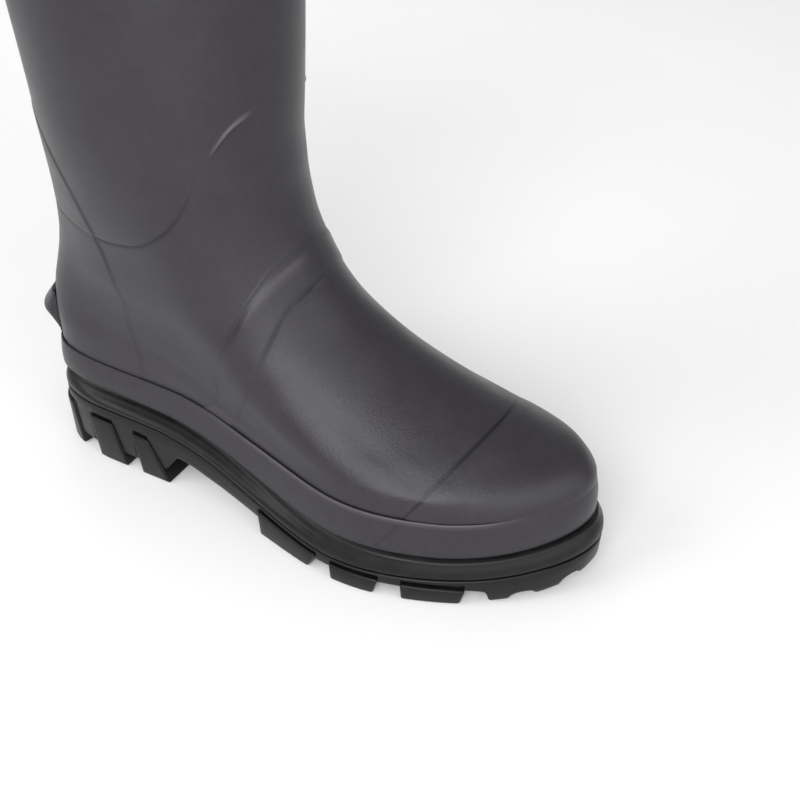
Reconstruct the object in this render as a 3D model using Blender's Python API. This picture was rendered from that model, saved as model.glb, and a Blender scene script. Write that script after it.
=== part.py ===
"""Right wellington boot with a neoprene-lined rubber upper, a proud rand and a lugged sole."""
import math

import bmesh
import bpy
import numpy as np

MM = 0.001

# Driving sizes in millimetres: x to the wearer's right, y from heel to toe, z up from the floor
CENTRE_X = 0.75
CENTRE_Y = 146.0
GAP = 0.3
COLUMNS = 64
MIDDLE_LINE = 0.97
SHARP_DEGREES = 40.0

WALL = 4.0
RIM_SHARES = (0.3, 0.7)
RAND_THICKNESS = 2.2
INSOLE_THICKNESS = 4.5
INSOLE_CLEARANCE = 0.5
LEVEL_HEIGHT = 180.0
SIDE_FULLNESS = 0.70
COLLAR_HEIGHT = 385.0

GROOVE_DEPTH = 0.9
SOLE_CHAMFER = 1.3
LUG_DRAFT = 1.0
LUG_FACE_DRAFT = 0.4
BAR_ROOT = 2.0
COVE_END = 60.0
BAND_START = 250.0

SPUR_REACH = 13.0
SPUR_SPREAD = 0.036
SPUR_FOOT = 18.6
SPUR_RIDGE = 33.0
SPUR_TOP = 50.0
SPUR_EDGE = 0.8
SPUR_BLUNT = 1.2
SPUR_SHOULDER_REACH = 0.55
SPUR_SHOULDER_RISE = 8.0
SPUR_COLUMNS = 14
SPUR_ROWS = 5

# Outline at the foot of the rand, from the back of the heel round the outer side: place, x, y
OUTLINE = (
    ("heel_back", 0.0, -3.0),
    ("outer_heel_corner", 28.0, 6.5),
    ("outer_heel", 36.5, 42.0),
    ("outer_waist", 38.5, 95.0),
    ("outer_instep", 47.5, 145.0),
    ("little_toe_joint", 58.0, 197.0),
    ("little_toe", 47.5, 245.0),
    ("outer_toe_corner", 27.5, 281.0),
    ("toe_tip", -3.0, 301.5),
    ("inner_toe_corner", -33.0, 284.0),
    ("great_toe", -48.5, 250.0),
    ("great_toe_joint", -56.5, 212.0),
    ("inner_instep", -49.0, 158.0),
    ("inner_waist", -32.5, 107.0),
    ("inner_heel", -36.5, 46.0),
    ("inner_heel_corner", -27.5, 7.0),
)

# Sizes along the sole: y, foot of rand, of midsole, of plate, of lugs, top of lugs, rand height, overhang
LEVELS = (
    (-8.0, 50.5, 35.0, 8.0, 0.0, 27.0, 17.5, 0.0),
    (14.0, 49.3, 35.3, 8.0, 0.0, 27.0, 17.0, 0.8),
    (40.0, 47.5, 35.6, 8.0, 0.0, 27.5, 17.0, 3.0),
    (76.0, 45.0, 35.0, 8.0, 0.0, 25.0, 18.5, 3.4),
    (88.0, 43.8, 33.4, 20.5, 0.0, 24.0, 19.5, 3.4),
    (110.0, 39.5, 29.0, 16.3, 0.0, 21.0, 21.5, 3.4),
    (135.0, 33.0, 21.8, 11.2, 0.0, 17.0, 22.5, 3.4),
    (160.0, 29.0, 16.5, 7.4, 0.0, 13.2, 23.0, 3.4),
    (190.0, 26.5, 13.8, 7.2, 0.0, 10.3, 23.0, 3.4),
    (240.0, 26.0, 14.8, 7.6, 0.0, 9.8, 23.0, 3.4),
    (258.0, 27.5, 16.0, 8.4, 0.2, 9.5, 23.0, 3.4),
    (268.0, 29.0, 17.2, 7.0, 1.6, 9.0, 23.0, 3.5),
    (282.0, 32.0, 19.5, 6.0, 3.2, 8.4, 23.0, 3.8),
    (294.0, 35.5, 22.1, 9.0, 6.2, 11.5, 23.0, 4.7),
    (306.0, 39.5, 25.0, 14.8, 12.0, 17.2, 23.0, 6.0),
)

# Rings of the upper: height above the sole, share of the foot outline, oval front y, back y, half width
RINGS = (
    (0.0, 1.000, 118.0, -1.0, 38.0),
    (12.0, 1.000, 118.0, -2.0, 39.0),
    (23.0, 0.997, 118.0, -3.0, 40.0),
    (34.0, 0.960, 119.0, -3.0, 41.0),
    (44.0, 0.830, 119.5, -2.0, 42.0),
    (54.0, 0.680, 121.0, 0.0, 42.0),
    (68.0, 0.525, 122.0, 3.0, 42.0),
    (85.0, 0.378, 126.0, 7.0, 43.0),
    (105.0, 0.250, 128.5, 10.5, 44.5),
    (130.0, 0.150, 131.5, 12.5, 45.0),
    (160.0, 0.063, 135.0, 13.0, 48.0),
    (200.0, 0.000, 140.5, 12.5, 52.0),
    (260.0, 0.000, 142.5, 9.0, 55.0),
    (330.0, 0.000, 143.5, 4.5, 58.5),
    (385.0, 0.000, 144.0, 2.0, 60.0),
)

# Heights of the mesh rings on the outer face of the upper, by stretch: from, to, steps
RING_STRETCHES = (
    (0.0, 24.0, 3),
    (24.0, 84.0, 10),
    (84.0, 200.0, 9),
    (200.0, 383.5, 5),
)

# Lugs on the edge of the sole: y at the top from, to, y at the foot from, to, reach inward, proud of the side
LUGS = (
    (-2.0, 14.0, -1.0, 18.0, 20.0, 1.4),
    (28.5, 44.5, 32.0, 51.5, 22.0, 1.4),
    (57.9, 68.0, 61.5, 80.4, 22.0, 1.4),
    (143.5, 182.0, 144.8, 177.5, 20.0, 1.4),
    (190.0, 215.4, 190.8, 213.0, 24.0, 1.4),
    (225.6, 255.0, 226.4, 253.2, 24.0, 1.4),
    (263.4, 275.0, 264.4, 273.8, 20.0, 0.3),
    (282.4, 293.2, 283.4, 292.4, 16.0, 0.3),
    (296.9, 300.7, 297.6, 300.2, 14.0, 0.3),
)

# Bars across the middle of the sole: from y, to y, half width
CENTRE_BARS = (
    (20.0, 34.0, 8.0),
    (48.0, 62.0, 8.0),
    (148.0, 162.0, 16.0),
    (174.0, 188.0, 22.0),
    (200.0, 214.0, 24.0),
    (226.0, 240.0, 22.0),
)

# Edge of the midsole, coved at the heel and a plain band at the toe: height share, heel share of the overhang
# and millimetres beyond it, toe share of the overhang and millimetres beyond it
MIDSOLE_EDGE = (
    (0.00, 1.00, -GROOVE_DEPTH, 1.00, -GROOVE_DEPTH),
    (0.10, 1.00, 0.0, 1.00, 0.0),
    (0.26, 1.00, 0.0, 0.97, 0.0),
    (0.42, 0.60, -0.5, 0.86, 0.0),
    (0.58, 0.00, -1.3, 0.68, 0.0),
    (0.72, 0.00, -2.4, 0.48, 0.0),
    (0.90, 0.00, -2.4, 0.26, 0.0),
    (1.00, 0.00, -0.5, 0.12, 0.0),
)

# Colour, roughness
MATERIALS = {
    "grey_rubber": ((0.076, 0.072, 0.082), 0.55),
    "black_rubber": ((0.030, 0.030, 0.029), 0.60),
    "dark_felt": ((0.020, 0.020, 0.021), 0.95),
}


def clear_scene():
    for item in list(bpy.data.objects):
        bpy.data.objects.remove(item, do_unlink=True)


def place(point):
    """Turn a point in the boot's millimetres into metres about the middle of its footprint."""
    return ((point[0] - CENTRE_X) * MM, (point[1] - CENTRE_Y) * MM, point[2] * MM)


def hermite(t, span, start, start_slope, end, end_slope):
    """Cubic between two values with the slopes that it has there."""
    rest = 1.0 - t
    return (
        start * (1.0 + 2.0 * t) * rest * rest
        + start_slope * span * t * rest * rest
        + end * t * t * (3.0 - 2.0 * t)
        - end_slope * span * t * t * rest
    )


def column(table, index):
    """Monotone smooth curve through one column of a table, read at any station of its first column."""
    rows = np.array([[row[0], row[index]] for row in table])
    stations, values = rows[:, 0], rows[:, 1]
    steps = np.diff(stations)
    rises = np.diff(values) / steps
    slopes = np.r_[rises[0], np.zeros(len(steps) - 1), rises[-1]]
    for i in range(1, len(steps)):
        if rises[i - 1] * rises[i] > 0.0:
            near = 2.0 * steps[i] + steps[i - 1]
            far = steps[i] + 2.0 * steps[i - 1]
            slopes[i] = (near + far) / (near / rises[i - 1] + far / rises[i])

    def read(station):
        at = min(max(station, stations[0]), stations[-1])
        i = min(int(np.searchsorted(stations, at, side="right")) - 1, len(steps) - 1)
        t = (at - stations[i]) / steps[i]
        return hermite(t, steps[i], values[i], slopes[i], values[i + 1], slopes[i + 1])

    return read


FEATHER = column(LEVELS, 1)
GROOVE = column(LEVELS, 2)
PLATE_FOOT = column(LEVELS, 3)
LUG_FOOT = column(LEVELS, 4)
LUG_TOP = column(LEVELS, 5)
RAND_HEIGHT = column(LEVELS, 6)
OVERHANG = column(LEVELS, 7)
FOOT_SHARE = column(RINGS, 1)
OVAL_FRONT = column(RINGS, 2)
OVAL_BACK = column(RINGS, 3)
OVAL_HALF = column(RINGS, 4)


def closed_spline(points):
    """Smooth closed curve through the points, as a function of the knot number."""
    count = len(points)
    chords = np.linalg.norm(np.roll(points, -1, axis=0) - points, axis=1)
    rises = (np.roll(points, -1, axis=0) - points) / chords[:, None]
    matrix = np.zeros((count, count))
    right = np.zeros((count, 2))
    for i in range(count):
        before, after = 1.0 / chords[i - 1], 1.0 / chords[i]
        matrix[i, i - 1] = before
        matrix[i, i] = 2.0 * (before + after)
        matrix[i, (i + 1) % count] = after
        right[i] = 3.0 * (before * rises[i - 1] + after * rises[i])
    slopes = np.linalg.solve(matrix, right)

    def read(knot):
        i = int(math.floor(knot)) % count
        j = (i + 1) % count
        t = knot - math.floor(knot)
        return hermite(t, chords[i], points[i], slopes[i], points[j], slopes[j])

    return read, chords


OUTLINE_POINTS = np.array([row[1:] for row in OUTLINE])
TOE_KNOT = [row[0] for row in OUTLINE].index("toe_tip")
OUTLINE_AT, OUTLINE_CHORDS = closed_spline(OUTLINE_POINTS)
LENGTHS = np.r_[0.0, np.cumsum(OUTLINE_CHORDS)]


def outline(u):
    """Point on the rand's outline: u is 0 at the back of the heel, 0.5 at the toe, 1 back at the heel."""
    u = u % 1.0
    if u < 0.5:
        length = LENGTHS[TOE_KNOT] * u * 2.0
    else:
        length = LENGTHS[TOE_KNOT] + (LENGTHS[-1] - LENGTHS[TOE_KNOT]) * (u - 0.5) * 2.0
    return OUTLINE_AT(float(np.interp(length, LENGTHS, np.arange(len(LENGTHS)))))


def outward(u):
    """Level direction that points out of the outline."""
    step = 0.001
    along = outline(u + step) - outline(u - step)
    return np.array([along[1], -along[0]]) / np.linalg.norm(along)


def edge(u, offset):
    """Point of the outline moved outward."""
    return outline(u) + outward(u) * offset


def sole_edge(u, offset):
    """Point on the side of the sole, moved outward."""
    return edge(u, OVERHANG(outline(u)[1]) + offset)


def edge_at(side, y):
    """Outline parameter on the outer (+1) or inner (-1) side where the outline passes a length y."""
    tries = np.linspace(0.0, 0.5, 501)
    lengths = [outline(side * u)[1] for u in tries]
    return side * float(np.interp(y, lengths, tries))


def ease(share):
    """Smooth step from 0 to 1."""
    share = min(max(share, 0.0), 1.0)
    return share * share * (3.0 - 2.0 * share)


def upper_point(u, height):
    """Point on the outer face of the upper: the foot's outline turns into the ankle's and shaft's ovals."""
    foot = edge(u, -RAND_THICKNESS - GAP)
    share = max(FOOT_SHARE(height), 0.0)
    front, back, half = OVAL_FRONT(height), OVAL_BACK(height), OVAL_HALF(height)
    angle = 2.0 * math.pi * u
    oval_x = half * math.sin(angle)
    oval_y = (front + back) / 2.0 - (front - back) / 2.0 * math.cos(angle)
    x = oval_x + (foot[0] - oval_x) * share ** SIDE_FULLNESS
    y = oval_y + (foot[1] - oval_y) * share
    z = height + FEATHER(foot[1]) * (1.0 - ease(height / LEVEL_HEIGHT))
    return np.array([x, y, z])


def upper_offset(u, height, offset):
    """Point off the outer face of the upper along its normal, level with the sole at the bottom edge."""
    turn, rise = 0.002, 0.5
    low = max(height - rise, 0.0)
    high = min(height + rise, COLLAR_HEIGHT)
    around = upper_point(u + turn, height) - upper_point(u - turn, height)
    up = upper_point(u, high) - upper_point(u, low)
    normal = np.cross(around, up)
    moved = upper_point(u, height) + normal / np.linalg.norm(normal) * offset
    start = edge(u, -RAND_THICKNESS - GAP)
    shifted = start + outward(u) * offset
    moved[2] += (FEATHER(shifted[1]) - FEATHER(start[1])) * (1.0 - ease(height / LEVEL_HEIGHT))
    return moved


def stations(count=COLUMNS):
    """Outline parameters of a mesh ring, none of them on the heel or toe point itself."""
    return [(i + 0.5) / count for i in range(count)]


def skin(name, material, rows, rows_closed):
    """Bend a grid onto rows of points, weld its closing edges and make it a named object."""
    rows = [list(row) + [row[0]] for row in rows]
    if rows_closed:
        rows.append(rows[0])
    across, along = len(rows[0]) - 1, len(rows) - 1
    mesh = bmesh.new()
    bmesh.ops.create_grid(mesh, x_segments=across, y_segments=along, size=1.0)
    for vert in mesh.verts:
        i = round((vert.co.x + 1.0) / 2.0 * across)
        j = round((vert.co.y + 1.0) / 2.0 * along)
        vert.co = place(rows[j][i])
    bmesh.ops.remove_doubles(mesh, verts=mesh.verts, dist=0.001 * MM)
    return finish(name, material, mesh)


def finish(name, material, mesh):
    """Face a mesh outward and put it in the scene under its name."""
    bmesh.ops.recalc_face_normals(mesh, faces=mesh.faces)
    if mesh.calc_volume(signed=True) < 0.0:
        bmesh.ops.reverse_faces(mesh, faces=mesh.faces)
    data = bpy.data.meshes.new(name)
    mesh.to_mesh(data)
    mesh.free()
    data.shade_smooth()
    data.set_sharp_from_angle(angle=math.radians(SHARP_DEGREES))
    item = bpy.data.objects.new(name, data)
    bpy.context.scene.collection.objects.link(item)
    data.materials.append(material)
    return item


def make_material(name):
    colour, roughness = MATERIALS[name]
    material = bpy.data.materials.new(name)
    material.use_nodes = True
    shader = material.node_tree.nodes["Principled BSDF"]
    shader.inputs["Base Color"].default_value = (*colour, 1.0)
    shader.inputs["Roughness"].default_value = roughness
    shader.inputs["Metallic"].default_value = 0.0
    return material


def edge_row(edge_of, height_at):
    """Ring round the sole from a function for its edge and one for its height at y."""
    points = [edge_of(u) for u in stations()]
    return [(x, y, height_at(y)) for x, y in points]


def middle_row(edge_of, height_at):
    """Ring folded onto the sole's middle line, short of both ends, which closes a plate's face."""
    ring = edge_row(edge_of, height_at)
    row = []
    for here, there in zip(ring, reversed(ring)):
        y = CENTRE_Y + ((here[1] + there[1]) / 2.0 - CENTRE_Y) * MIDDLE_LINE
        row.append(((here[0] + there[0]) / 2.0, y, height_at(y)))
    return row


def plate(name, material, sides):
    """Plate under the foot from its edge profile, bottom to top: edge function, height function."""
    rows = [middle_row(*sides[0])]
    rows += [edge_row(*side) for side in sides]
    rows.append(middle_row(*sides[-1]))
    return skin(name, material, rows, rows_closed=False)


def make_upper(material):
    heights = [0.0]
    for start, end, steps in RING_STRETCHES:
        heights += [start + (end - start) * (i + 1) / steps for i in range(steps)]
    rows = [[upper_offset(u, h, 0.0) for u in stations()] for h in heights]
    for share in RIM_SHARES:
        rows.append([upper_offset(u, COLLAR_HEIGHT, -WALL * share) for u in stations()])
    rows += [[upper_offset(u, h, -WALL) for u in stations()] for h in reversed(heights)]
    return skin("upper", material, rows, rows_closed=True)


def make_rand(material):
    inner = GAP
    outer = GAP + RAND_THICKNESS
    # height share, offset from the upper
    profile = (
        (0.0, inner),
        (0.0, outer),
        (0.45, outer),
        (0.88, outer),
        (0.96, outer - 0.4),
        (1.0, outer - 1.1),
        (1.0, inner),
        (0.5, inner),
    )
    rows = []
    for share, offset in profile:
        rows.append([upper_offset(u, share * RAND_HEIGHT(outline(u)[1]), offset) for u in stations()])
    return skin("rand", material, rows, rows_closed=True)


def make_spur(material):
    """Kick-off lug: a blunt ridge across the back of the heel."""
    turns = [SPUR_SPREAD * (2.0 * i / SPUR_COLUMNS - 1.0) for i in range(SPUR_COLUMNS + 1)]
    heights = np.linspace(SPUR_FOOT, SPUR_TOP, SPUR_ROWS)
    sections = []
    for u in turns:
        reach = SPUR_EDGE + (SPUR_REACH - SPUR_EDGE) * math.sqrt(1.0 - (u / SPUR_SPREAD) ** 2)
        inside = [upper_offset(u, h, GAP) for h in heights]
        ridge = upper_offset(u, SPUR_RIDGE, 0.0)
        out = np.append(outward(u), 0.0)
        up = np.array([0.0, 0.0, 1.0])
        face = [
            upper_offset(u, SPUR_TOP, GAP + SPUR_EDGE),
            ridge + out * reach * SPUR_SHOULDER_REACH + up * SPUR_SHOULDER_RISE,
            ridge + out * reach + up * SPUR_BLUNT,
            ridge + out * reach - up * SPUR_BLUNT,
            upper_offset(u, SPUR_FOOT, GAP + SPUR_EDGE),
        ]
        sections.append(inside + face)
    ends = [[np.mean(section, axis=0)] * len(section) for section in (sections[0], sections[-1])]
    return skin("heel_spur", material, [ends[0]] + sections + [ends[1]], rows_closed=False)


def on_side(offset):
    """Edge function at one offset from the side of the sole."""
    return lambda u: sole_edge(u, offset)


def make_midsole(material):
    """Plate whose edge is a bead below a cove at the heel and turns into one plain band at the toe."""
    def edge_of(heel_share, heel_beyond, toe_share, toe_beyond):
        def read(u):
            y = outline(u)[1]
            heel = OVERHANG(y) * heel_share + heel_beyond
            toe = OVERHANG(y) * toe_share + toe_beyond
            return edge(u, heel + (toe - heel) * ease((y - COVE_END) / (BAND_START - COVE_END)))
        return read

    def height(share):
        return lambda y: GROOVE(y) + (FEATHER(y) - GAP - GROOVE(y)) * share

    sides = [(edge_of(*reach), height(share)) for share, *reach in MIDSOLE_EDGE]
    return plate("midsole", material, sides)


def make_insole(material):
    def edge_of(u):
        return edge(u, -RAND_THICKNESS - GAP - WALL - INSOLE_CLEARANCE)

    def bottom(y):
        return FEATHER(y) + GAP

    def top(y):
        return FEATHER(y) + INSOLE_THICKNESS

    return plate("insole", material, ((edge_of, bottom), (edge_of, top)))


def add_block(mesh, corner):
    """One drafted block: corner gives the place for each sign of along, across and up."""
    made = bmesh.ops.create_cube(mesh, size=2.0)
    for vert in made["verts"]:
        vert.co = place(corner(*[1 if value > 0.0 else -1 for value in vert.co]))


def add_lug(mesh, side, top_start, top_end, foot_start, foot_end, reach, proud):
    """Lug on the edge of the sole, proud of the side and leaning as its top and foot say."""
    def corner(along, across, up):
        start, end = (top_start, top_end) if up > 0 else (foot_start, foot_end)
        u = edge_at(side, end if along > 0 else start)
        if across > 0:
            x, y = sole_edge(u, proud - (LUG_FACE_DRAFT if up < 0 else 0.0))
        else:
            x, y = edge(u, (LUG_DRAFT if up < 0 else 0.0) - reach)
        return (x, y, LUG_TOP(y) if up > 0 else LUG_FOOT(y))

    add_block(mesh, corner)


def add_bar(mesh, start, end, half):
    """Bar across the middle of the sole."""
    def corner(along, across, up):
        draft = LUG_DRAFT if up < 0 else 0.0
        y = end - draft if along > 0 else start + draft
        middle = (edge(edge_at(1, y), 0.0)[0] + edge(edge_at(-1, y), 0.0)[0]) / 2.0
        x = middle + across * (half - draft)
        return (x, y, PLATE_FOOT(y) + BAR_ROOT if up > 0 else LUG_FOOT(y))

    add_block(mesh, corner)


def make_outsole(material):
    def top(y):
        return GROOVE(y) - GAP

    sides = (
        (on_side(-SOLE_CHAMFER), PLATE_FOOT),
        (on_side(0.0), lambda y: PLATE_FOOT(y) + SOLE_CHAMFER),
        (on_side(0.0), lambda y: top(y) - GROOVE_DEPTH),
        (on_side(-GROOVE_DEPTH), top),
    )
    sole = plate("outsole", material, sides)
    lugs = bmesh.new()
    for side in (1, -1):
        for lug in LUGS:
            add_lug(lugs, side, *lug)
    for start, end, half in CENTRE_BARS:
        add_bar(lugs, start, end, half)
    form = finish("lug_form", material, lugs)
    form.hide_render = True
    form.display_type = "WIRE"
    joined = sole.modifiers.new("lugs", "BOOLEAN")
    joined.operation = "UNION"
    joined.use_self = True
    joined.object = form
    return sole


def main():
    clear_scene()
    grey = make_material("grey_rubber")
    black = make_material("black_rubber")
    felt = make_material("dark_felt")
    make_outsole(black)
    make_midsole(black)
    make_insole(felt)
    make_upper(grey)
    make_rand(grey)
    make_spur(grey)


main()
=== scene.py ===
import math

import bmesh
import bpy
import numpy as np
from mathutils import Matrix, Vector


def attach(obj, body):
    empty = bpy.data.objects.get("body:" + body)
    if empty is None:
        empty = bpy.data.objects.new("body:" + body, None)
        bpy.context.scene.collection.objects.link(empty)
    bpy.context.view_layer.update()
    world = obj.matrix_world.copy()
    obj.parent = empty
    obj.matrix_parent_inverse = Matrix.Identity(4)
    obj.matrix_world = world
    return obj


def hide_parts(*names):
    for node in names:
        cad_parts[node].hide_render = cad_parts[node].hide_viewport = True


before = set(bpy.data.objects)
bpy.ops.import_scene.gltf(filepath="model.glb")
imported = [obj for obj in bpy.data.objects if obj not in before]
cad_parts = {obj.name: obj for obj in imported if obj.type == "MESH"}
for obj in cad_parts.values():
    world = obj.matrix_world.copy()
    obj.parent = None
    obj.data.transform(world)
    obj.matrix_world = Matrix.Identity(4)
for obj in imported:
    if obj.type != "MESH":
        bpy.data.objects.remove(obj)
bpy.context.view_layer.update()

MM = 0.001

# The boot's own sizes in millimetres and angles in degrees: x to the wearer's right, y from heel to toe,
# z up from the floor
CENTRE_X = 0.75
CENTRE_Y = 146.0
GAP = 0.3
WALL = 4.0
RAND_THICKNESS = 2.2
LEVEL_HEIGHT = 180.0
SIDE_FULLNESS = 0.70
COLLAR_HEIGHT = 385.0
WELD = 0.001
GROOVE_DEPTH = 1.7
SOLE_CHAMFER = 1.3
LUG_DRAFT = 1.0
LUG_FACE_DRAFT = 0.4
LUG_ROUND = 1.2
LUG_CUTS = 7
LUG_RECESS = 1.8
LUG_RECESS_HEIGHT = 3.0
LUG_RECESS_ENDS = 1.5
BAR_ROOT = 2.0
BAR_CUTS = 1
ROUND_ANGLE = 35.0
ROUND_SEGMENTS = 3
SHADE_ANGLE = 40.0
COVE_END = 60.0
BAND_START = 250.0
TOE_RIM_START = 265.2
TOE_RIM_FULL = 267.4
TOE_RIM_WIDTH = 13.0
SPUR_REACH = 13.0
SPUR_SPREAD = 0.036
SPUR_FOOT = 18.6
SPUR_RIDGE = 33.0
SPUR_TOP = 50.0
SPUR_END = 0.8
INSOLE_THICKNESS = 4.5
INSOLE_CLEARANCE = 0.5
MIDDLE_LINE = 0.97

# Outline at the foot of the rand, from the back of the heel round the outer side: x, y
OUTLINE = (
    (0.0, -3.0), (28.0, 6.5), (36.5, 42.0), (38.5, 95.0), (47.5, 145.0), (58.0, 197.0),
    (47.5, 245.0), (27.5, 281.0), (-3.0, 301.5), (-33.0, 284.0), (-48.5, 250.0), (-56.5, 212.0),
    (-49.0, 158.0), (-32.5, 107.0), (-36.5, 46.0), (-27.5, 7.0),
)
TOE_KNOT = 8

# Sizes along the sole: y, foot of rand, of midsole, of plate, of lugs, top of lugs, rand height, overhang
LEVELS = (
    (-8.0, 50.5, 35.0, 8.0, 0.0, 27.0, 17.5, 0.0),
    (14.0, 49.3, 35.3, 8.0, 0.0, 27.0, 17.0, 0.8),
    (40.0, 47.5, 35.6, 8.0, 0.0, 27.5, 17.0, 3.0),
    (76.0, 45.0, 35.0, 8.0, 0.0, 25.0, 18.5, 3.4),
    (88.0, 43.8, 33.4, 20.5, 0.0, 24.0, 19.5, 3.4),
    (110.0, 39.5, 29.0, 16.3, 0.0, 21.0, 21.5, 3.4),
    (135.0, 33.0, 21.8, 11.2, 0.0, 17.0, 22.5, 3.4),
    (160.0, 29.0, 16.5, 7.4, 0.0, 13.2, 23.0, 3.4),
    (190.0, 26.5, 13.8, 7.2, 0.0, 10.3, 23.0, 3.4),
    (240.0, 26.0, 14.8, 7.6, 0.0, 9.8, 23.0, 3.4),
    (258.0, 27.5, 16.0, 8.4, 0.2, 9.5, 23.0, 3.4),
    (268.0, 29.0, 17.2, 7.0, 1.6, 9.0, 23.0, 3.5),
    (282.0, 32.0, 19.5, 6.0, 3.2, 8.4, 23.0, 3.8),
    (294.0, 35.5, 22.1, 9.0, 6.2, 11.5, 23.0, 4.7),
    (306.0, 39.5, 25.0, 14.8, 12.0, 17.2, 23.0, 6.0),
)

# Rings of the upper: height above the sole, share of the foot outline, oval front y, back y, half width
RINGS = (
    (0.0, 1.000, 118.0, -1.0, 38.0),
    (12.0, 1.000, 118.0, -2.0, 39.0),
    (23.0, 0.997, 118.0, -3.0, 40.0),
    (34.0, 0.960, 119.0, -3.0, 41.0),
    (44.0, 0.830, 119.5, -2.0, 42.0),
    (54.0, 0.680, 121.0, 0.0, 42.0),
    (68.0, 0.525, 122.0, 3.0, 42.0),
    (85.0, 0.378, 126.0, 7.0, 43.0),
    (105.0, 0.250, 128.5, 10.5, 44.5),
    (130.0, 0.150, 131.5, 12.5, 45.0),
    (160.0, 0.063, 135.0, 13.0, 48.0),
    (200.0, 0.000, 140.5, 12.5, 52.0),
    (260.0, 0.000, 142.5, 9.0, 55.0),
    (330.0, 0.000, 143.5, 4.5, 58.5),
    (385.0, 0.000, 144.0, 2.0, 60.0),
)

# Lugs on the edge of the sole: y at the top from, to, y at the foot from, to, reach inward, proud of the side
LUGS = (
    (-2.0, 14.0, -1.0, 18.0, 20.0, 1.4),
    (28.5, 44.5, 32.0, 51.5, 22.0, 1.4),
    (57.9, 68.0, 61.5, 80.4, 22.0, 1.4),
    (143.5, 182.0, 144.8, 177.5, 20.0, 1.4),
    (190.0, 215.4, 190.8, 213.0, 24.0, 1.4),
    (225.6, 255.0, 226.4, 253.2, 24.0, 1.4),
)

# Shallow notches in the foot of the toe's rim: y of the middle, half length, depth
TOE_NOTCHES = ((280.9, 5.4, 3.0), (299.2, 3.3, 3.0))

# Edge of the midsole, coved at the heel and a plain band at the toe: height share, heel share of the overhang
# and millimetres beyond it, toe share of the overhang and millimetres beyond it
MIDSOLE_EDGE = (
    (0.00, 1.00, -GROOVE_DEPTH, 1.00, -GROOVE_DEPTH),
    (0.05, 1.00, -0.60, 1.00, -0.60),
    (0.11, 1.00, 0.0, 1.00, 0.0),
    (0.26, 1.00, 0.0, 0.97, 0.0),
    (0.42, 0.68, -0.4, 0.86, 0.0),
    (0.57, 0.10, -1.2, 0.68, 0.0),
    (0.71, 0.00, -3.6, 0.48, 0.0),
    (0.84, 0.00, -4.6, 0.32, 0.0),
    (0.93, 0.00, -4.6, 0.18, -1.4),
    (1.00, 0.00, -4.2, 0.10, -2.6),
)
MIDSOLE_FOOT_SHARES = (0.0, 0.02, 0.04, 0.07)
MIDSOLE_SIDE_START = 0.1
MIDSOLE_ROWS = 26

# Bars across the middle of the sole: from y, to y, half width
CENTRE_BARS = (
    (20.0, 34.0, 8.0), (48.0, 62.0, 8.0), (148.0, 162.0, 16.0),
    (174.0, 188.0, 22.0), (200.0, 214.0, 24.0), (226.0, 240.0, 22.0),
)

# Recess above a lug: how far it starts below the lug's top, the least room under it and over it, and how far
# it stays from the groove
RECESS_DROP = 0.6
RECESS_LEAST_FOOT = 0.1
RECESS_LEAST_TOP = 2.6
RECESS_TOP_GAP = 1.3

# Depth of the recess: share of the whole, rise from its start
RECESS_SECTION = ((0.9, 0.0), (1.0, 0.4), (0.9, LUG_RECESS_HEIGHT - 0.6), (0.0, LUG_RECESS_HEIGHT))

# Foot of the sole's side, and its top edge that turns into the groove: distance beyond the side, rise from
# the foot or from the top
SOLE_FOOT_EDGE = ((-SOLE_CHAMFER, 0.0), (-0.4, 0.35), (0.0, SOLE_CHAMFER))
SOLE_TOP_EDGE = ((0.0, -1.2), (-0.2, -0.75), (-0.7, -0.45), (-GROOVE_DEPTH, -0.1))
TOE_RIM_SLOPE = 2.5

# Edge of the footbed: in from its widest, rise from the midsole
FOOTBED_EDGE = ((0.8, GAP), (0.0, 1.2), (0.0, 3.0), (0.5, 4.0), (1.6, INSOLE_THICKNESS))

# Face of the kick-off lug: share of the reach, rise from the ridge
SPUR_FACE = (
    (0.20, 13.2), (0.38, 10.6), (0.55, 8.0), (0.78, 4.4), (0.92, 2.3), (0.98, 1.2), (1.0, 0.4),
    (1.0, -0.4), (0.98, -1.2), (0.90, -2.4), (0.70, -5.2), (0.45, -8.6), (0.22, -11.8),
)

# Rolled edge of the collar: depth into the wall, drop from the top
COLLAR_RIM = ((0.0, 1.5), (0.4, 0.6), (1.2, 0.1), (2.0, 0.0), (2.8, 0.1), (3.6, 0.6), (4.0, 1.5))
RIM_HEIGHT = 4.0

# Lining: its ribs are counted round a line this far behind the middle of the footprint, on a leg of one girth
SHAFT_BACK = 70.0
LINING_GIRTH = 340.0

# Plane of the toe cap's edge: y at the floor in the middle, forward lean per rise, set forward per x
TOE_CAP_Y = 201.0
TOE_CAP_LEAN = 0.62
TOE_CAP_SKEW = -0.127
TOE_CAP_HALVINGS = 30
TOE_CAP_LEAST = 10.0
TOE_CAP_TRIES = 1001
FRONT_HALF = (0.25, 0.75)

# Height where the toe cap and the heel counter start behind the rand
SHEET_FOOT = 6.0

# Lines laid on the upper: turn from the back of the heel (0.5 is the toe) and height
SHAFT_SEAM = (
    (0.000, 143.5), (0.100, 143.0), (0.180, 140.0), (0.250, 146.5), (0.300, 158.5), (0.335, 172.5),
    (0.370, 195.5), (0.410, 212.0), (0.500, 225.0),
)
BAND_REAR = (
    (0.160, 0.0), (0.190, 26.0), (0.240, 55.0), (0.325, 96.5), (0.390, 128.5), (0.430, 141.0), (0.500, 149.5),
)
BAND_FRONT = (
    (0.195, 0.0), (0.227, 35.5), (0.283, 58.0), (0.327, 76.0), (0.380, 99.5), (0.430, 118.5), (0.500, 129.0),
)

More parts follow.
